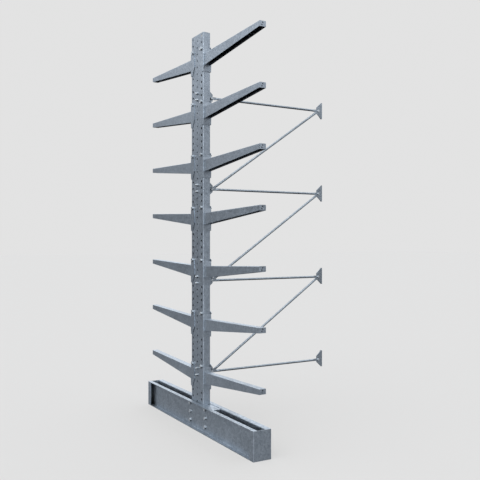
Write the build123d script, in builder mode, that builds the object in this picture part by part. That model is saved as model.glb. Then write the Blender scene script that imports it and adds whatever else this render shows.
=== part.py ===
from build123d import *
import os

# Double-sided cantilever rack, add-on bay: one galvanised column on a two-channel
# base, seven arm levels on each side, and bracing rods that reach to the next column.
# Frame: origin on the floor under the column's centre, +X along the arms and the base,
# +Y along the bracing towards the next column, +Z up. Millimetres.

os.makedirs("parts", exist_ok=True)

# ---------------------------------------------------------------- driving dimensions
# column: two cold-rolled channels, one nested in the other, forming a box
COL_W = 200.0            # width along X
COL_D = 62.0             # depth along Y
COL_T = 4.0              # sheet thickness
COL_FRONT_FLANGE = 41.0  # depth of the outer channel's flanges
COL_R = 6.0              # outer bend radius
FOOT_T = 8.0             # foot plate under the column
COL_TOP = 3008.0         # top of the column above the floor
PITCH = 50.0             # hole pitch
ROW_X = 72.5             # outer hole rows, from the centre
HOLE_R = 9.0             # outer rows
MID_HOLE_R = 6.75        # centre row
HOLE_Z0 = 35.0           # height of the lowest outer hole (on the pitch grid)
MID_Z0 = 10.0            # centre row grid, half a pitch lower

# arms
LEVELS = [485.0 + 400.0 * k for k in range(7)]   # bolt heights
ARM_T = 4.0              # arm sheet
HEAD_HALF = COL_D / 2 + ARM_T  # half width over the head's cheeks
ARM_HALF = 25.0         # half width of the arm itself
ARM_TIP = 896.0          # tip, from the column's centre
ARM_OUT = 7.0            # arm root stands this far off the column face
ARM_TOP_ROOT = -40.0     # top of the arm at its root, from the bolt
ARM_RISE = 24.5          # rise of the top edge from root to tip
ARM_ROOT_H = 88.0        # height at the root
ARM_TIP_H = 37.0         # height at the tip
TAIL = -175.0            # lower end of the arm's head, from the bolt

# base
BASE_HALF = 892.0        # half length
BASE_H = 200.0
CH_T = 5.0               # base channel sheet
CH_FLANGE = 38.0
CAP_T = 4.0
CAP_RETURN = 52.0        # end cap's side return

# bracing
BR_LEVELS = [435.0 + 700.0 * k for k in range(4)]   # bracket centres
NEXT_FACE = 1137.0       # face of the next column, from this column's centre
BR_T = 5.0
BR_FREE = -15.0          # free edge of the bracket flange, along X
BR_H = 136.0             # bracket height
BR_REACH = 58.0          # gusset reach from its flange's back
BR_NOSE = 50.0           # gusset height at its nose
PIVOT = 46.0             # rod bolt, from the flange's back
ROD_DROP = -5.0          # rod bolt, from the bracket's centre
H_ROD = 18.0             # horizontal rod, a tube with flattened ends: outside diameter
D_ROD = 18.0             # diagonal rod, the same tube
TUBE_T = 2.0             # its wall
GUSSET_X0 = 20.0         # gusset plate starts here
TAB = 6.0                # flattened end of the horizontal rod
D_TAB = 5.0              # flattened end of the diagonal rod

# fasteners
M16_R, M16_AF, M16_HEAD, M16_NUT = 8.0, 24.0, 10.0, 13.0
M12_R, M12_AF, M12_HEAD, M12_NUT = 6.0, 18.0, 7.5, 10.0
M12_END = 8.0            # thread end past the bracket nuts


def finish(part, name, colour):
    part.label = name
    part.color = Color(*colour)
    export_step(part, "parts/" + name + ".step")


ZINC = (0.55, 0.60, 0.64)
BOLT = (0.72, 0.74, 0.76)

# ---------------------------------------------------------------- column
n_rows = int((COL_TOP - HOLE_Z0 - 15) // PITCH) + 1
outer_z = [HOLE_Z0 + PITCH * i for i in range(n_rows)]
mid_rows = int((COL_TOP - MID_Z0 - 15) // PITCH) + 1
mid_z = [MID_Z0 + PITCH * i for i in range(1, mid_rows)]
outer_pts = [(s * ROW_X, z) for z in outer_z for s in (-1, 1)]
mid_pts = [(0.0, z) for z in mid_z]
# holes that clamp the channels at the foot are kept to the part above the base
outer_pts = [p for p in outer_pts if p[1] > BASE_H]
mid_pts = [p for p in mid_pts if p[1] > BASE_H]

y0 = -COL_D / 2
with BuildPart() as column_front_channel:
    with BuildSketch(Plane.XY.offset(FOOT_T)) as s:
        with BuildLine():
            Polyline((-COL_W / 2, y0 + COL_FRONT_FLANGE), (-COL_W / 2, y0), (COL_W / 2, y0),
                     (COL_W / 2, y0 + COL_FRONT_FLANGE), (COL_W / 2 - COL_T, y0 + COL_FRONT_FLANGE),
                     (COL_W / 2 - COL_T, y0 + COL_T), (-COL_W / 2 + COL_T, y0 + COL_T),
                     (-COL_W / 2 + COL_T, y0 + COL_FRONT_FLANGE), close=True)
        make_face()
        fillet(s.vertices().group_by(Axis.Y)[0], COL_R)
        fillet(s.vertices().filter_by(lambda v: abs(v.Y - (y0 + COL_T)) < 1e-6), COL_R - COL_T)
    extrude(amount=COL_TOP - FOOT_T)
    with BuildSketch(Plane.XZ.offset(-y0 - 2 * COL_T)):
        with Locations(*outer_pts):
            Circle(HOLE_R)
        with Locations(*mid_pts):
            Circle(MID_HOLE_R)
    extrude(amount=4 * COL_T, mode=Mode.SUBTRACT)
finish(column_front_channel.part, "column_front_channel", ZINC)

y1 = COL_D / 2
in_w = COL_W / 2 - COL_T
with BuildPart() as column_rear_channel:
    with BuildSketch(Plane.XY.offset(FOOT_T)) as s:
        with BuildLine():
            Polyline((-in_w, y0 + COL_T + 3), (-in_w, y1), (in_w, y1), (in_w, y0 + COL_T + 3),
                     (in_w - COL_T, y0 + COL_T + 3), (in_w - COL_T, y1 - COL_T),
                     (-in_w + COL_T, y1 - COL_T), (-in_w + COL_T, y0 + COL_T + 3), close=True)
        make_face()
        fillet(s.vertices().group_by(Axis.Y)[-1], 5)
        fillet(s.vertices().filter_by(lambda v: abs(v.Y - (y1 - COL_T)) < 1e-6), 1.5)
    extrude(amount=COL_TOP - FOOT_T)
    with BuildSketch(Plane.XZ.offset(-y1 - COL_T)):
        with Locations(*outer_pts):
            Circle(HOLE_R)
        with Locations(*mid_pts):
            Circle(MID_HOLE_R)
    extrude(amount=3 * COL_T, mode=Mode.SUBTRACT)
finish(column_rear_channel.part, "column_rear_channel", ZINC)

with BuildPart() as column_foot_plate:
    with BuildSketch(Plane.XY):
        RectangleRounded(COL_W, COL_D, 4)
    extrude(amount=FOOT_T)
finish(column_foot_plate.part, "column_foot_plate", ZINC)

# ---------------------------------------------------------------- base
BOLT_X = (-110.0, 142.0)
BOLT_Z = (42.0, 108.0, 174.0)
base_pts = [(x, z) for x in BOLT_X for z in BOLT_Z]


def base_channel(side, name):
    """Channel on its web, flanges outward; side is -1 in front, +1 at the rear."""
    a, b = COL_D / 2, COL_D / 2 + CH_FLANGE
    with BuildPart() as ch:
        with BuildSketch(Plane.YZ.offset(-BASE_HALF + CAP_T)) as s:
            with BuildLine():
                Polyline((side * b, 0), (side * a, 0), (side * a, BASE_H), (side * b, BASE_H),
                         (side * b, BASE_H - CH_T), (side * (a + CH_T), BASE_H - CH_T),
                         (side * (a + CH_T), CH_T), (side * b, CH_T), close=True)
            make_face()
            # in this sketch X runs along the rack's Y
            fillet(s.vertices().filter_by(lambda v: abs(abs(v.X) - a) < 1e-6), 7)
            fillet(s.vertices().filter_by(lambda v: abs(abs(v.X) - a - CH_T) < 1e-6), 2)
        extrude(amount=2 * (BASE_HALF - CAP_T))
        with BuildSketch(Plane.XZ.offset(-side * (a - 5) if side > 0 else a + CH_T + 5)):
            with Locations(*base_pts):
                Circle(M16_R + 0.5)
        extrude(amount=-(CH_T + 10), mode=Mode.SUBTRACT)
    finish(ch.part, name, ZINC)
    return ch.part


base_front = base_channel(-1, "base_channel_front")
base_rear = base_channel(1, "base_channel_rear")


def end_cap(side, name):
    w = COL_D / 2 + CH_FLANGE
    xe = side * BASE_HALF
    xi = side * (BASE_HALF - CAP_T)
    xr = side * (BASE_HALF - CAP_RETURN)
    with BuildPart() as cap:
        with BuildSketch(Plane.XY) as s:
            with BuildLine():
                Polyline((xi, -w), (xe, -w), (xe, w), (xi, w), close=True)
            make_face()
            fillet(s.vertices().group_by(Axis.X)[-1 if side > 0 else 0], 3)
        extrude(amount=BASE_H)
        # returns sit between the channel's flanges, flush with the flange edges
        for q in (-1, 1):
            with BuildSketch(Plane.XY.offset(CH_T)):
                with BuildLine():
                    Polyline((xi, q * w), (xr, q * w), (xr, q * (w - CAP_T)), (xi, q * (w - CAP_T)), close=True)
                make_face()
            extrude(amount=BASE_H - 2 * CH_T)
    finish(cap.part, name, ZINC)


end_cap(1, "base_end_cap_right")
end_cap(-1, "base_end_cap_left")

# folded spacer between the two webs beside the column: top plate and two legs
with BuildPart() as base_spacer:
    with BuildSketch(Plane.XZ.offset(-COL_D / 2)) as s:
        with BuildLine():
            Polyline((COL_W / 2, 196), (258, 196), (258, 20), (254, 20), (254, 192), (COL_W / 2 + 4, 192),
                     (COL_W / 2 + 4, 20), (COL_W / 2, 20), close=True)
        make_face()
        fillet(s.vertices().filter_by(lambda v: v.Y > 195 and v.X > 200), 5)
    extrude(amount=COL_D)
finish(base_spacer.part, "base_spacer", ZINC)

# spacer tubes on the bolts that pass beside the column
with BuildPart() as base_bolt_sleeves:
    with BuildSketch(Plane.XZ.offset(-COL_D / 2)):
        with Locations(*[(BOLT_X[1], z) for z in BOLT_Z]):
            Circle(12.5)
            Circle(M16_R + 0.4, mode=Mode.SUBTRACT)
    extrude(amount=COL_D)
finish(base_bolt_sleeves.part, "base_bolt_sleeves", ZINC)


# ---------------------------------------------------------------- fasteners
def bolts(name, pts, y_head, y_end, r, af, head):
    """Hex bolts along +Y: heads end at y_head, shanks run on to y_end."""
    with BuildPart() as b:
        with BuildSketch(Plane.XZ.offset(-(y_head - head))):
            with Locations(*pts):
                RegularPolygon(af / 2, 6, major_radius=False, rotation=30)
        extrude(amount=-head)
        with BuildSketch(Plane.XZ.offset(-y_head)):
            with Locations(*pts):
                Circle(r)
        extrude(amount=-(y_end - y_head))
    finish(b.part, name, BOLT)


def nuts(name, pts, y_face, r, af, h):
    """Hex nuts that start at y_face."""
    with BuildPart() as b:
        with BuildSketch(Plane.XZ.offset(-y_face)):
            with Locations(*pts):
                RegularPolygon(af / 2, 6, major_radius=False, rotation=30)
                Circle(r + 0.05, mode=Mode.SUBTRACT)
        extrude(amount=-h)
    finish(b.part, name, BOLT)


web_out = COL_D / 2 + CH_T
bolts("base_bolts", base_pts, -web_out, web_out + M16_NUT + 4, M16_R, M16_AF, M16_HEAD)
nuts("base_nuts", base_pts, web_out, M16_R, M16_AF, M16_NUT)
arm_pts = [(s * ROW_X, z) for z in LEVELS for s in (-1, 1)]
bolts("arm_bolts", arm_pts, -HEAD_HALF, HEAD_HALF + M16_NUT + 4, M16_R, M16_AF, M16_HEAD)
nuts("arm_nuts", arm_pts, HEAD_HALF, M16_R, M16_AF, M16_NUT)
br_pts = [(0.0, c + d) for c in BR_LEVELS for d in (-25.0, 25.0)]
# the bracket bolts go in from the bracket's side, so their nuts and thread ends show in front
br_head = COL_D / 2 + BR_T
with BuildPart() as brace_bracket_bolts:
    with BuildSketch(Plane.XZ.offset(-br_head)):
        with Locations(*br_pts):
            RegularPolygon(M12_AF / 2, 6, major_radius=False, rotation=30)
    extrude(amount=-M12_HEAD)
    with BuildSketch(Plane.XZ.offset(COL_D / 2 + M12_NUT + M12_END)):
        with Locations(*br_pts):
            Circle(M12_R)
    extrude(amount=-(COL_D / 2 + M12_NUT + M12_END + br_head))
finish(brace_bracket_bolts.part, "brace_bracket_bolts", BOLT)
nuts("brace_bracket_nuts", br_pts, -COL_D / 2 - M12_NUT, M12_R, M12_AF, M12_NUT)


# ---------------------------------------------------------------- arms
def arm(side, z, name):
    """Folded tapered arm, open underneath: two webs, a top flange and a turned-down tip."""
    root = COL_W / 2 + ARM_OUT
    top0, top1 = ARM_TOP_ROOT, ARM_TOP_ROOT + ARM_RISE
    bot0, bot1 = ARM_TOP_ROOT - ARM_ROOT_H, ARM_TOP_ROOT + ARM_RISE - ARM_TIP_H
    outline = [(root, top0), (ARM_TIP, top1), (ARM_TIP, bot1), (root, bot0)]
    slope = ARM_RISE / (ARM_TIP - root)
    inner = [(root - 9, top0 - ARM_T - 9 * slope), (ARM_TIP - ARM_T, top1 - ARM_T - slope * ARM_T),
             (ARM_TIP - ARM_T, -300), (root - 9, -300)]
    with BuildPart() as p:
        with BuildSketch(Plane.XZ.offset(-ARM_HALF)):
            with BuildLine():
                Polyline(*[(side * x, z + h) for x, h in outline], close=True)
            make_face()
        extrude(amount=2 * ARM_HALF)
        # bend radius along the two top edges
        bends = [e for e in p.edges() if abs(abs(e.center().Y) - ARM_HALF) < 1e-6
                 and abs(side * e.center().X - (root + ARM_TIP) / 2) < 5 and e.center().Z > z + (top0 + bot0) / 2 + 20]
        fillet(bends, 3.5)
        with BuildSketch(Plane.XZ.offset(-ARM_HALF + ARM_T)):
            with BuildLine():
                Polyline(*[(side * x, z + h) for x, h in inner], close=True)
            make_face()
        extrude(amount=2 * (ARM_HALF - ARM_T), mode=Mode.SUBTRACT)
        # two holes in the turned-down tip for an end stop
        with BuildSketch(Plane.YZ.offset(side * (ARM_TIP - 12))):
            with Locations((0, z + top1 - 11), (-6, z + top1 - 26)):
                Circle(4.5)
        extrude(amount=side * 24, mode=Mode.SUBTRACT)
    finish(p.part, name, ZINC)


def head_plate(side, z, name):
    """Bracket the arm is welded to: a plate on the column's side and two cheeks that straddle the column."""
    f = COL_W / 2
    o = f + ARM_OUT
    t = ARM_T
    top0, bot0 = ARM_TOP_ROOT, ARM_TOP_ROOT - ARM_ROOT_H
    cheek = [(58, 12), (f + 1, 12), (f + t, -4), (o, top0), (o, bot0), (f + t, TAIL), (77, TAIL), (44, -112), (44, -60)]
    inner = [(0, 60), (f + 30, 60), (f + 30, -4), (f + 0.2, -4), (o - t, top0), (o - t, bot0), (f + 0.2, TAIL + 4),
             (f + 0.2, -300), (0, -300)]
    with BuildPart() as p:
        with BuildSketch(Plane.XZ.offset(-HEAD_HALF)):
            with BuildLine():
                Polyline(*[(side * x, z + h) for x, h in cheek], close=True)
            make_face()
        extrude(amount=2 * HEAD_HALF)
        # bend radius where the plate turns into the cheeks
        bends = [e for e in p.edges() if abs(abs(e.center().Y) - HEAD_HALF) < 1e-6
                 and side * e.center().X > f + t - 0.1 and z + TAIL < e.center().Z < z - 4]
        fillet(bends, 3.0)
        with BuildSketch(Plane.XZ.offset(-COL_D / 2)):
            with BuildLine():
                Polyline(*[(side * x, z + h) for x, h in inner], close=True)
            make_face()
        extrude(amount=COL_D, mode=Mode.SUBTRACT)
        # bolt hole through both cheeks
        with BuildSketch(Plane.XZ.offset(-HEAD_HALF - 5)):
            with Locations((side * ROW_X, z)):
                Circle(M16_R + 0.5)
        extrude(amount=2 * HEAD_HALF + 10, mode=Mode.SUBTRACT)
    finish(p.part, name, ZINC)


for k, z in enumerate(LEVELS):
    for side, word in ((1, "right"), (-1, "left")):
        arm(side, z, "arm_%s_%d" % (word, k + 1))
        head_plate(side, z, "arm_head_plate_%s_%d" % (word, k + 1))


# ---------------------------------------------------------------- bracing
def bracket(face, out, zc, name):
    """Flange bolted to a column's face with a gusset standing out; out is +1 or -1 along Y."""
    back = face
    with BuildPart() as p:
        with BuildSketch(Plane.XZ.offset(-back)):
            with BuildLine():
                # the free edge is cut back at both ends, so the flange tapers like the gusset
                Polyline((GUSSET_X0 + BR_T, zc - BR_H / 2), (GUSSET_X0 + BR_T, zc + BR_H / 2),
                         (GUSSET_X0 - 12, zc + BR_H / 2), (BR_FREE, zc + 42), (BR_FREE, zc - 42),
                         (GUSSET_X0 - 12, zc - BR_H / 2), close=True)
            make_face()
        extrude(amount=-out * BR_T)
        with BuildSketch(Plane.YZ.offset(GUSSET_X0)):
            with BuildLine():
                Polyline((back + out * BR_T, zc - BR_H / 2), (back + out * BR_T, zc + BR_H / 2),
                         (back + out * (BR_T + 5), zc + BR_H / 2), (back + out * BR_REACH, zc + BR_NOSE / 2),
                         (back + out * BR_REACH, zc - BR_NOSE / 2), (back + out * (BR_T + 5), zc - BR_H / 2),
                         close=True)
            make_face()
        extrude(amount=BR_T)
        with BuildSketch(Plane.XZ.offset(-back + 20 * out)):
            with Locations((0, zc - 25), (0, zc + 25)):
                Circle(M12_R + 0.5)
        extrude(amount=-40 * out, mode=Mode.SUBTRACT)
        with BuildSketch(Plane.YZ.offset(GUSSET_X0 - 5)):
            with Locations((back + out * PIVOT, zc + ROD_DROP)):
                Circle(M12_R + 0.5)
        extrude(amount=BR_T + 10, mode=Mode.SUBTRACT)
    finish(p.part, name, ZINC)


face0 = COL_D / 2
pa, pb = face0 + PIVOT, NEXT_FACE - PIVOT
x_tab = GUSSET_X0 + BR_T                  # rods lie on the gusset's outer side
x_h = x_tab + TAB / 2 + 3                 # axis of the horizontal rod
for i, zc in enumerate(BR_LEVELS):
    bracket(face0, 1, zc, "brace_bracket_near_%d" % (i + 1))
    bracket(NEXT_FACE, -1, zc, "brace_bracket_far_%d" % (i + 1))


def rod(name, start, end, dia, x_flat, flat_t, x_axis, tab_w, tab_len, blend):
    """Round tube with flattened, drilled ends, in a plane of constant X; start and end are (Y, Z)."""
    dy, dz = end[0] - start[0], end[1] - start[1]
    length = (dy * dy + dz * dz) ** 0.5
    along = Vector(0, dy / length, dz / length)
    across = Vector(1, 0, 0)
    with BuildPart() as p:
        for e0, sgn in ((start, 1), (end, -1)):
            d = along * sgn
            base = Plane(origin=(x_flat, e0[0], e0[1]), x_dir=(0, d.Y, d.Z), z_dir=(1, 0, 0))
            with BuildSketch(base):
                with Locations((tab_len / 2, 0)):
                    Rectangle(tab_len, tab_w)
                Circle(tab_w / 2)
            extrude(amount=flat_t)
            a = Vector(x_flat + flat_t / 2, e0[0], e0[1]) + d * tab_len
            b = Vector(x_axis, e0[0], e0[1]) + d * (tab_len + blend)
            with BuildSketch(Plane(origin=a, x_dir=across, z_dir=d)) as s1:
                RectangleRounded(flat_t, tab_w, flat_t / 2 - 0.05)
            with BuildSketch(Plane(origin=b, x_dir=across, z_dir=d)) as s2:
                Circle(dia / 2)
            loft(ruled=False)
        with BuildSketch(Plane(origin=Vector(x_axis, start[0], start[1]) + along * (tab_len + blend),
                               x_dir=across, z_dir=along)):
            Circle(dia / 2)
        extrude(amount=length - 2 * (tab_len + blend))
        # the bore is closed at both ends, where the tube is flattened
        with BuildSketch(Plane(origin=Vector(x_axis, start[0], start[1]) + along * (tab_len + blend + 1),
                               x_dir=across, z_dir=along)):
            Circle(dia / 2 - TUBE_T)
        extrude(amount=length - 2 * (tab_len + blend + 1), mode=Mode.SUBTRACT)
        for e0 in (start, end):
            with BuildSketch(Plane(origin=(x_flat - 2, e0[0], e0[1]), x_dir=(0, 1, 0), z_dir=(1, 0, 0))):
                Circle(M12_R + 0.5)
            extrude(amount=flat_t + 4, mode=Mode.SUBTRACT)
    finish(p.part, name, ZINC)


for i, zc in enumerate(BR_LEVELS):
    rod("brace_horizontal_%d" % (i + 1), (pa, zc + ROD_DROP), (pb, zc + ROD_DROP), H_ROD,
        x_tab, TAB, x_h, 20, 36, 26)
for i in range(3):
    rod("brace_diagonal_%d" % (i + 1), (pa, BR_LEVELS[i] + ROD_DROP), (pb, BR_LEVELS[i + 1] + ROD_DROP), D_ROD,
        x_tab + TAB, D_TAB, x_tab + TAB + 4, 20, 34, 24)


# rod bolts run along X through the gusset, the horizontal rod and, where one ends, the diagonal
def rod_bolts():
    pts = [(y, zc + ROD_DROP) for zc in BR_LEVELS for y in (pa, pb)]
    plain = [(pb, BR_LEVELS[0] + ROD_DROP), (pa, BR_LEVELS[-1] + ROD_DROP)]   # no diagonal ends here
    shared = [p for p in pts if p not in plain]
    with BuildPart() as b:
        for group, x_head in ((shared, x_tab + TAB + D_TAB), (plain, x_tab + TAB)):
            with BuildSketch(Plane.YZ.offset(x_head)):
                with Locations(*group):
                    RegularPolygon(M12_AF / 2, 6, major_radius=False)
            extrude(amount=M12_HEAD)
            with BuildSketch(Plane.YZ.offset(GUSSET_X0 - M12_NUT - 2)):
                with Locations(*group):
                    Circle(M12_R)
            extrude(amount=x_head - GUSSET_X0 + M12_NUT + 2)
    finish(b.part, "rod_bolts", BOLT)
    with BuildPart() as n:
        with BuildSketch(Plane.YZ.offset(GUSSET_X0 - M12_NUT)):
            with Locations(*pts):
                RegularPolygon(M12_AF / 2, 6, major_radius=False)
                Circle(M12_R + 0.05, mode=Mode.SUBTRACT)
        extrude(amount=M12_NUT)
    finish(n.part, "rod_nuts", BOLT)


rod_bolts()
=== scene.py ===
import math

import bmesh
import bpy
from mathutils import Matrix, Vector


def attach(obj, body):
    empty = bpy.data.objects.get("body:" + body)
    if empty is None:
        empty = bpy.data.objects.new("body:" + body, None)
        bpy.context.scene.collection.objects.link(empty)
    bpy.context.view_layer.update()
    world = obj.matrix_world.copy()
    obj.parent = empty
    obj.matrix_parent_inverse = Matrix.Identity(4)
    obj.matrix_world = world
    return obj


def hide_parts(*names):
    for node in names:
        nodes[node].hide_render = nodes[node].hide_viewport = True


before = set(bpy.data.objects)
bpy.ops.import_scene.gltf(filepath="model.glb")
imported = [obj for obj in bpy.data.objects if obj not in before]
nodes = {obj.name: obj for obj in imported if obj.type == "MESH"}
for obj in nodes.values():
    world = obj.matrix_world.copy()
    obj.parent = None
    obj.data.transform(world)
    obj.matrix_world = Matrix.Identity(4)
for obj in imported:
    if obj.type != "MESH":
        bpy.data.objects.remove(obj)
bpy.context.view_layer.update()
scene = bpy.context.scene

# the part's own dimensions, in metres
COL_D, COL_W = 0.062, 0.200
ROW_X = 0.0725
LEVELS = [0.485 + 0.4 * k for k in range(7)]
BR_LEVELS = [0.435 + 0.7 * k for k in range(4)]
BASE_X, BASE_Z = (-0.110, 0.142), (0.042, 0.108, 0.174)
M16, M12 = (0.008, 0.024, 0.010, 0.013), (0.006, 0.018, 0.0075, 0.010)   # shank r, across flats, head, nut


# ------------------------------------------------------------------ camera, light, floor
cam_data = bpy.data.cameras.new("camera")
cam_data.lens = 50.0
cam_data.sensor_width = 36.0
cam_data.clip_end = 200.0
cam = bpy.data.objects.new("camera", cam_data)
scene.collection.objects.link(cam)
cam.location = (4.583, -2.2995, 1.440)
cam.rotation_euler = (math.radians(90), 0, math.radians(60))
scene.camera = cam

scene.view_settings.view_transform = "Standard"
scene.view_settings.look = "None"

BACKDROP = 0.766      # linear value of the pale surroundings


def make_world():
    """A soft dome: bright above, dimmer level and below, and darkest low on the far left. The camera sees plain pale grey."""
    w = bpy.data.worlds.new("studio")
    scene.world = w
    w.use_nodes = True
    nt = w.node_tree
    nt.nodes.clear()
    N, L = nt.nodes.new, nt.links.new
    out = N("ShaderNodeOutputWorld")
    geo = N("ShaderNodeTexCoord")
    sep = N("ShaderNodeSeparateXYZ")
    L(geo.outputs["Generated"], sep.inputs[0])
    up = N("ShaderNodeValToRGB")
    e = up.color_ramp.elements
    e[0].position, e[0].color = 0.0, (0.01, 0.011, 0.012, 1)
    e[1].position, e[1].color = 1.0, (0.86, 0.90, 0.95, 1)
    for pos, v in ((0.26, 0.03), (0.36, 0.54), (0.43, 0.46), (0.50, 0.12), (0.57, 0.36), (0.646, 1.04), (0.78, 1.10)):
        n = e.new(pos)
        n.color = (v * 0.96, v, v * 1.07, 1)
    half = N("ShaderNodeMath"); half.operation = "MULTIPLY_ADD"
    half.inputs[1].default_value, half.inputs[2].default_value = 0.5, 0.5
    L(sep.outputs["Z"], half.inputs[0])
    L(half.outputs[0], up.inputs[0])
    # the low far left is nearly dark, so undersides read as black
    dot = N("ShaderNodeVectorMath"); dot.operation = "DOT_PRODUCT"
    dot.inputs[1].default_value = (-0.866, 0.5, 0.0)
    L(geo.outputs["Generated"], dot.inputs[0])

    def ramp(source, a, b):
        r = N("ShaderNodeMapRange")
        r.inputs["From Min"].default_value, r.inputs["From Max"].default_value = a, b
        L(source, r.inputs["Value"])
        return r.outputs[0]

    far = N("ShaderNodeMath"); far.operation = "MULTIPLY"
    L(ramp(dot.outputs["Value"], 0.45, 0.90), far.inputs[0])
    L(ramp(sep.outputs["Z"], 0.06, -0.08), far.inputs[1])
    side = N("ShaderNodeMath"); side.operation = "MULTIPLY_ADD"
    side.inputs[1].default_value, side.inputs[2].default_value = -0.93, 1.0
    L(far.outputs[0], side.inputs[0])
    # a narrow tall softbox on the front right, which picks out rounded edges and the rods
    front = N("ShaderNodeVectorMath"); front.operation = "DOT_PRODUCT"
    front.inputs[1].default_value = (0.866, -0.5, 0.0)
    L(geo.outputs["Generated"], front.inputs[0])
    lit = N("ShaderNodeMath"); lit.operation = "MULTIPLY_ADD"
    lit.inputs[1].default_value = 3.2
    L(ramp(front.outputs["Value"], 0.86, 0.97), lit.inputs[0])
    L(side.outputs[0], lit.inputs[2])
    bg = N("ShaderNodeBackground")
    L(up.outputs[0], bg.inputs["Color"])
    L(lit.outputs[0], bg.inputs["Strength"])
    plain = N("ShaderNodeBackground")
    plain.inputs["Color"].default_value = (BACKDROP, BACKDROP, BACKDROP, 1)
    lp = N("ShaderNodeLightPath")
    mix = N("ShaderNodeMixShader")
    L(lp.outputs["Is Camera Ray"], mix.inputs[0])
    L(bg.outputs[0], mix.inputs[1])
    L(plain.outputs[0], mix.inputs[2])
    L(mix.outputs[0], out.inputs["Surface"])


make_world()


def soft_sun(name, towards, strength, spread, colour):
    """A very wide, soft sun: even over the whole floor. towards is the direction to the light."""
    d = bpy.data.lights.new(name, "SUN")
    d.energy, d.angle, d.color = strength, math.radians(spread), colour
    o = bpy.data.objects.new(name, d)
    scene.collection.objects.link(o)
    o.location = Vector(towards) * 5
    o.rotation_euler = (-Vector(towards)).to_track_quat("-Z", "Y").to_euler()
    return o


soft_sun("key", (0.25, -0.50, 0.83), 1.0, 60, (1.0, 0.99, 0.97))
soft_sun("rim", (-0.76, 0.40, 0.52), 0.35, 60, (0.94, 0.97, 1.0))


def make_floor():
    me = bpy.data.meshes.new("floor")
    s = 60.0
    me.from_pydata([(-s, -s, 0), (s, -s, 0), (s, s, 0), (-s, s, 0)], [], [(0, 1, 2, 3)])
    o = bpy.data.objects.new("floor", me)
    scene.collection.objects.link(o)
    m = bpy.data.materials.new("pale_floor")
    m.use_nodes = True
    p = m.node_tree.nodes["Principled BSDF"]
    p.inputs["Base Color"].default_value = (0.215, 0.215, 0.215, 1)
    p.inputs["Roughness"].default_value = 0.9
    p.inputs["Specular IOR Level"].default_value = 0.0
    p.inputs["Emission Color"].default_value = (1.0, 0.985, 0.96, 1)
    p.inputs["Emission Strength"].default_value = 0.483
    me.materials.append(m)
    # steel above it reflects the dim lower dome instead of a bright floor
    o.visible_glossy = False
    o.visible_diffuse = False
    return o


make_floor()


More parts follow.
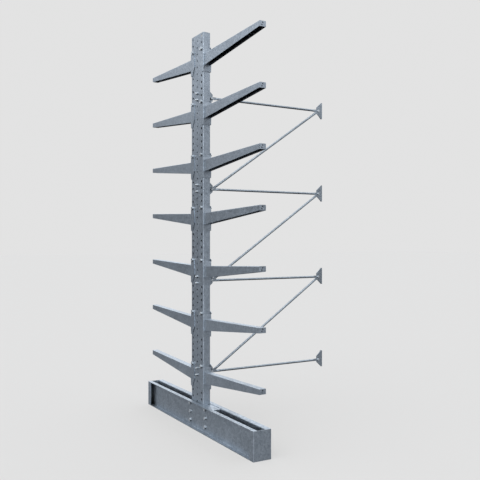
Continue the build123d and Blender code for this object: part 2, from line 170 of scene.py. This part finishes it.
# ------------------------------------------------------------------ materials
def zinc(name, dark, light, cell, rough, bump, contrast=1.0, grime=0.0):
    """Hot-dip zinc: crystal spangle in two sizes, slow cloudy staining, a dulled, slightly pitted surface and painted
    shade (ambient occlusion) in deep recesses.
    """
    m = bpy.data.materials.new(name)
    m.use_nodes = True
    nt = m.node_tree
    N, L = nt.nodes.new, nt.links.new
    p = nt.nodes["Principled BSDF"]
    p.inputs["Metallic"].default_value = 1.0
    tc = N("ShaderNodeTexCoord")
    # slightly bent coordinates, so that crystal borders aren't straight
    wn = N("ShaderNodeTexNoise"); wn.inputs["Scale"].default_value = 60.0; wn.inputs["Detail"].default_value = 2.0
    L(tc.outputs["Object"], wn.inputs["Vector"])
    ws = N("ShaderNodeVectorMath"); ws.operation = "SCALE"; ws.inputs["Scale"].default_value = cell * 0.35
    L(wn.outputs["Color"], ws.inputs[0])
    wa = N("ShaderNodeVectorMath"); wa.operation = "ADD"
    L(tc.outputs["Object"], wa.inputs[0]); L(ws.outputs[0], wa.inputs[1])

    def cells(scale):
        v = N("ShaderNodeTexVoronoi")
        v.feature = "F1"
        v.inputs["Scale"].default_value = scale
        L(wa.outputs[0], v.inputs["Vector"])
        s = N("ShaderNodeSeparateColor")
        L(v.outputs["Color"], s.inputs[0])
        return s

    big, small = cells(1.0 / cell), cells(2.6 / cell)
    mix = N("ShaderNodeMath"); mix.operation = "MULTIPLY_ADD"
    mix.inputs[1].default_value = 0.62
    L(big.outputs[0], mix.inputs[0])
    sm = N("ShaderNodeMath"); sm.operation = "MULTIPLY"; sm.inputs[1].default_value = 0.38
    L(small.outputs[1], sm.inputs[0]); L(sm.outputs[0], mix.inputs[2])
    cloud = N("ShaderNodeTexNoise")
    cloud.inputs["Scale"].default_value = 3.2; cloud.inputs["Detail"].default_value = 6.0
    cloud.inputs["Roughness"].default_value = 0.6
    L(tc.outputs["Object"], cloud.inputs["Vector"])
    t = N("ShaderNodeMapRange")
    t.inputs["From Min"].default_value = 0.5 - 0.5 / contrast
    t.inputs["From Max"].default_value = 0.5 + 0.5 / contrast
    L(mix.outputs[0], t.inputs["Value"])
    col = N("ShaderNodeMix"); col.data_type = "RGBA"
    col.inputs["A"].default_value = (*dark, 1); col.inputs["B"].default_value = (*light, 1)
    L(t.outputs[0], col.inputs["Factor"])
    cl = N("ShaderNodeMapRange")
    cl.inputs["From Min"].default_value, cl.inputs["From Max"].default_value = 0.3, 0.75
    cl.inputs["To Min"].default_value, cl.inputs["To Max"].default_value = 0.84 - grime, 1.06
    L(cloud.outputs[0], cl.inputs["Value"])
    tint = N("ShaderNodeVectorMath"); tint.operation = "SCALE"
    L(col.outputs["Result"], tint.inputs[0]); L(cl.outputs[0], tint.inputs["Scale"])
    # painted shade: ambient occlusion darkens the base colour in deep recesses: holes, the inside of the column and the
    # slot in the base
    ao = N("ShaderNodeAmbientOcclusion")
    ao.samples = 8
    ao.inputs["Distance"].default_value = 0.12
    painted_recess_shade = N("ShaderNodeMapRange")
    painted_recess_shade.inputs["From Min"].default_value, painted_recess_shade.inputs["From Max"].default_value = 0.14, 0.46
    painted_recess_shade.inputs["To Min"].default_value, painted_recess_shade.inputs["To Max"].default_value = 0.16, 1.0
    L(ao.outputs["AO"], painted_recess_shade.inputs["Value"])
    shade = N("ShaderNodeVectorMath"); shade.operation = "SCALE"
    L(tint.outputs[0], shade.inputs[0]); L(painted_recess_shade.outputs[0], shade.inputs["Scale"])
    L(shade.outputs[0], p.inputs["Base Color"])
    # each crystal has its own gloss
    r = N("ShaderNodeMapRange")
    r.inputs["To Min"].default_value, r.inputs["To Max"].default_value = rough - 0.09, rough + 0.13
    L(big.outputs[2], r.inputs["Value"])
    L(r.outputs[0], p.inputs["Roughness"])
    pit = N("ShaderNodeTexNoise")
    pit.inputs["Scale"].default_value = 420.0; pit.inputs["Detail"].default_value = 4.0
    L(tc.outputs["Object"], pit.inputs["Vector"])
    hgt = N("ShaderNodeMath"); hgt.operation = "MULTIPLY_ADD"; hgt.inputs[1].default_value = 0.55
    L(mix.outputs[0], hgt.inputs[0]); L(pit.outputs[0], hgt.inputs[2])
    b = N("ShaderNodeBump")
    b.inputs["Strength"].default_value = bump; b.inputs["Distance"].default_value = 0.0012
    L(hgt.outputs[0], b.inputs["Height"])
    L(b.outputs[0], p.inputs["Normal"])
    return m


SHEET = zinc("galvanised_sheet", (0.345, 0.395, 0.445), (0.51, 0.565, 0.62), 0.012, 0.42, 0.16, 1.1)
ARMS = zinc("galvanised_arm", (0.355, 0.405, 0.455), (0.52, 0.575, 0.63), 0.011, 0.40, 0.14, 1.1)
BASE = zinc("galvanised_base", (0.34, 0.39, 0.44), (0.53, 0.585, 0.64), 0.013, 0.40, 0.18, 1.2, 0.02)
BRACE = zinc("galvanised_bracing", (0.26, 0.30, 0.34), (0.50, 0.55, 0.59), 0.008, 0.38, 0.18, 1.1)
BRIGHT = zinc("zinc_fastener", (0.56, 0.60, 0.63), (0.78, 0.81, 0.83), 0.004, 0.26, 0.10)
WELD = zinc("weld_bead", (0.22, 0.245, 0.265), (0.46, 0.49, 0.51), 0.003, 0.50, 0.35)

for name, o in nodes.items():
    if name.startswith("arm_right") or name.startswith("arm_left") or name.startswith("arm_head"):
        m = ARMS
    elif name.startswith("base_channel") or name.startswith("base_end") or name in ("base_spacer", "base_bolt_sleeves"):
        m = BASE
    elif name.startswith("brace_") and not name.endswith(("bolts", "nuts")):
        m = BRACE
    elif name.endswith(("bolts", "nuts")):
        m = BRIGHT
    else:
        m = SHEET
    o.data.materials.clear()
    o.data.materials.append(m)


# ------------------------------------------------------------------ detailed fasteners
SEG = 48


def hex_r(theta, af):
    a = (theta + math.pi / 6) % (math.pi / 3) - math.pi / 6
    return af / 2 / math.cos(a)


def basis(axis):
    z = Vector(axis).normalized()
    x = Vector((0, 0, 1)) if abs(z.z) < 0.9 else Vector((1, 0, 0))
    x = (x - z * x.dot(z)).normalized()
    return x, z.cross(x), z


def rings(bm, at, axis, profile, closed_ring=False):
    """Loft through rings; profile is a list of functions theta -> (radius, height along the axis)."""
    x, y, z = basis(axis)
    at = Vector(at)
    rows = []
    for f in profile:
        row = []
        for i in range(SEG):
            th = 2 * math.pi * i / SEG
            r, h = f(th)
            row.append(bm.verts.new(at + x * (r * math.cos(th)) + y * (r * math.sin(th)) + z * h))
        rows.append(row)
    pairs = list(zip(rows, rows[1:])) + ([(rows[-1], rows[0])] if closed_ring else [])
    for a, b in pairs:
        for i in range(SEG):
            j = (i + 1) % SEG
            bm.faces.new((a[i], a[j], b[j], b[i]))
    if not closed_ring:
        bm.faces.new(list(reversed(rows[0])))
        bm.faces.new(rows[-1])


def cham(af, h, up=True):
    """Height drop where a 30 degree cone trims the hexagon's corners."""
    def f(th):
        r = hex_r(th, af)
        drop = max(0.0, r - af / 2 * 0.96) * math.tan(math.radians(30))
        return r, (h - drop if up else h + drop)
    return f


def head(bm, at, axis, size):
    """Washer, then a hex head with trimmed corners and a shallow dish, growing along axis from the clamped face."""
    r, af, h, _ = size
    w = 0.0018
    washer(bm, at, axis, r + 0.0002, af * 0.60, w)
    c = af / 2 * 0.96
    rings(bm, Vector(at) + Vector(axis) * w, axis, [
        lambda t: (c * 0.97, 0.0),
        lambda t: (hex_r(t, af), 0.0004),
        cham(af, h - w),
        lambda t: (c, h - w),
        lambda t: (c * 0.70, h - w),
        lambda t: (c * 0.64, h - w - 0.0006),
        lambda t: (0.0008, h - w - 0.0006)])


def washer(bm, at, axis, ri, ro, t):
    b = 0.0003
    rings(bm, at, axis, [lambda th: (ri, 0.0), lambda th: (ro - b, 0.0), lambda th: (ro, b), lambda th: (ro, t - b),
                         lambda th: (ro - b, t), lambda th: (ri, t)], closed_ring=True)


def nut(bm, at, axis, size):
    r, af, _, h = size
    w = 0.0018
    ri = r + 0.00005
    washer(bm, at, axis, ri, af * 0.60, w)
    rings(bm, Vector(at) + Vector(axis) * w, axis, [
        lambda t: (ri + 0.0008, 0.0), lambda t: (af / 2 * 0.96, 0.0), cham(af, 0.0, up=False), cham(af, h - w),
        lambda t: (af / 2 * 0.96, h - w), lambda t: (ri + 0.0008, h - w), lambda t: (ri, h - w - 0.0007),
        lambda t: (ri, 0.0007)], closed_ring=True)


def shank(bm, at, axis, length, threaded, size, pitch=0.002):
    """Plain shank with a helical thread on its last part and a bevelled end."""
    r = size[0]
    depth = 0.0009
    steps = int(threaded / (pitch / 4))
    prof = [lambda t: (r - 0.0001, 0.0), lambda t: (r - 0.0001, length - threaded)]
    for k in range(1, steps):
        h = length - threaded + k * pitch / 4

        def f(t, h=h):
            ph = (h / pitch - t / (2 * math.pi)) % 1.0
            v = r - 0.0001 - depth * abs(2 * ph - 1)
            return min(v, r - 0.0014 + max(0.0, length - h)), h
        prof.append(f)
    prof.append(lambda t: (r - 0.0015, length))
    rings(bm, at, axis, prof)


def piece(name, build, material, slot, *replaced):
    bm = bmesh.new()
    build(bm)
    bmesh.ops.recalc_face_normals(bm, faces=bm.faces)
    me = bpy.data.meshes.new(name)
    bm.to_mesh(me)
    bm.free()
    me.materials.append(material)
    me.shade_smooth()
    me.set_sharp_from_angle(angle=math.radians(28))
    o = bpy.data.objects.new(name, me)
    scene.collection.objects.link(o)
    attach(o, "root")
    if replaced:
        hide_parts(*replaced)
    return o


def y_bolts(points, y_head, y_end, y_nut, size):
    def bolt(bm):
        for x, z in points:
            head(bm, (x, y_head, z), (0, -1, 0), size)
            shank(bm, (x, y_head, z), (0, 1, 0), y_end - y_head, y_end - y_nut + 0.004, size)

    def nuts(bm):
        for x, z in points:
            nut(bm, (x, y_nut, z), (0, 1, 0), size)
    return bolt, nuts


f = COL_D / 2
b, n = y_bolts([(s * ROW_X, z) for z in LEVELS for s in (-1, 1)], -f - 0.004, f + 0.004 + 0.017, f + 0.004, M16)
piece("arm_bolts_detail", b, BRIGHT, "zinc_fasteners", "arm_bolts")
piece("arm_nuts_detail", n, BRIGHT, "zinc_fasteners", "arm_nuts")
b, n = y_bolts([(x, z) for x in BASE_X for z in BASE_Z], -f - 0.005, f + 0.005 + 0.017, f + 0.005, M16)
piece("base_bolts_detail", b, BRIGHT, "zinc_fasteners", "base_bolts")
piece("base_nuts_detail", n, BRIGHT, "zinc_fasteners", "base_nuts")


BR_POINTS = [(0.0, c + d) for c in BR_LEVELS for d in (-0.025, 0.025)]


def bracket_bolts(bm):
    for x, z in BR_POINTS:
        head(bm, (x, f + 0.005, z), (0, 1, 0), M12)
        shank(bm, (x, f + 0.005, z), (0, -1, 0), 2 * f + 0.005 + 0.010 + 0.008, 0.030, M12)


def bracket_nuts(bm):
    for x, z in BR_POINTS:
        nut(bm, (x, -f, z), (0, -1, 0), M12)


piece("brace_bracket_bolts_detail", bracket_bolts, BRIGHT, "zinc_fasteners", "brace_bracket_bolts")
piece("brace_bracket_nuts_detail", bracket_nuts, BRIGHT, "zinc_fasteners", "brace_bracket_nuts")

GUSSET, BR_T, TAB, D_TAB, PIVOT, NEXT, DROP = 0.020, 0.005, 0.006, 0.005, 0.046, 1.137, -0.005
pa, pb = f + PIVOT, NEXT - PIVOT
x_tab = GUSSET + BR_T


def rod_points():
    for i, c in enumerate(BR_LEVELS):
        for y in (pa, pb):
            lone = (i == 0 and y == pb) or (i == len(BR_LEVELS) - 1 and y == pa)
            yield y, c + DROP, x_tab + TAB + (0.0 if lone else D_TAB)


def rod_bolts(bm):
    for y, z, x in rod_points():
        head(bm, (x, y, z), (1, 0, 0), M12)
        length = x - (GUSSET - 0.012)
        shank(bm, (x, y, z), (-1, 0, 0), length, 0.015, M12)


def rod_nuts(bm):
    for y, z, x in rod_points():
        nut(bm, (GUSSET, y, z), (-1, 0, 0), M12)


piece("rod_bolts_detail", rod_bolts, BRIGHT, "zinc_fasteners", "rod_bolts")
piece("rod_nuts_detail", rod_nuts, BRIGHT, "zinc_fasteners", "rod_nuts")


# ------------------------------------------------------------------ weld beads where the arms meet their heads
def bead(bm, a, b, r):
    """A rippled bead of overlapping scales from a to b."""
    a, b = Vector(a), Vector(b)
    d = b - a
    length = d.length
    x, y, z = basis(d)
    count = max(6, int(length / 0.0012))
    rows = []
    for k in range(count + 1):
        t = k / count
        s = t * length
        ripple = 1.0 + 0.13 * abs(math.sin(math.pi * s / 0.0042))
        end = min(1.0, 0.35 + min(s, length - s) / 0.003)
        rr = r * ripple * end
        rows.append([bm.verts.new(a + z * s + x * (rr * math.cos(q)) + y * (rr * math.sin(q)))
                     for q in [2 * math.pi * i / 10 for i in range(10)]])
    for p, q in zip(rows, rows[1:]):
        for i in range(10):
            j = (i + 1) % 10
            bm.faces.new((p[i], p[j], q[j], q[i]))
    bm.faces.new(list(reversed(rows[0])))
    bm.faces.new(rows[-1])


def arm_welds(side):
    root, half = COL_W / 2 + 0.007, 0.025

    def build(bm):
        for z in LEVELS:
            for y in (-half, half):
                bead(bm, (side * root, y, z - 0.044), (side * root, y, z - 0.126), 0.0020)
            bead(bm, (side * root, -half + 0.005, z - 0.040), (side * root, half - 0.005, z - 0.040), 0.0020)
    return build


piece("arm_welds_right", arm_welds(1), WELD, "galvanised_sheet")
piece("arm_welds_left", arm_welds(-1), WELD, "galvanised_sheet")
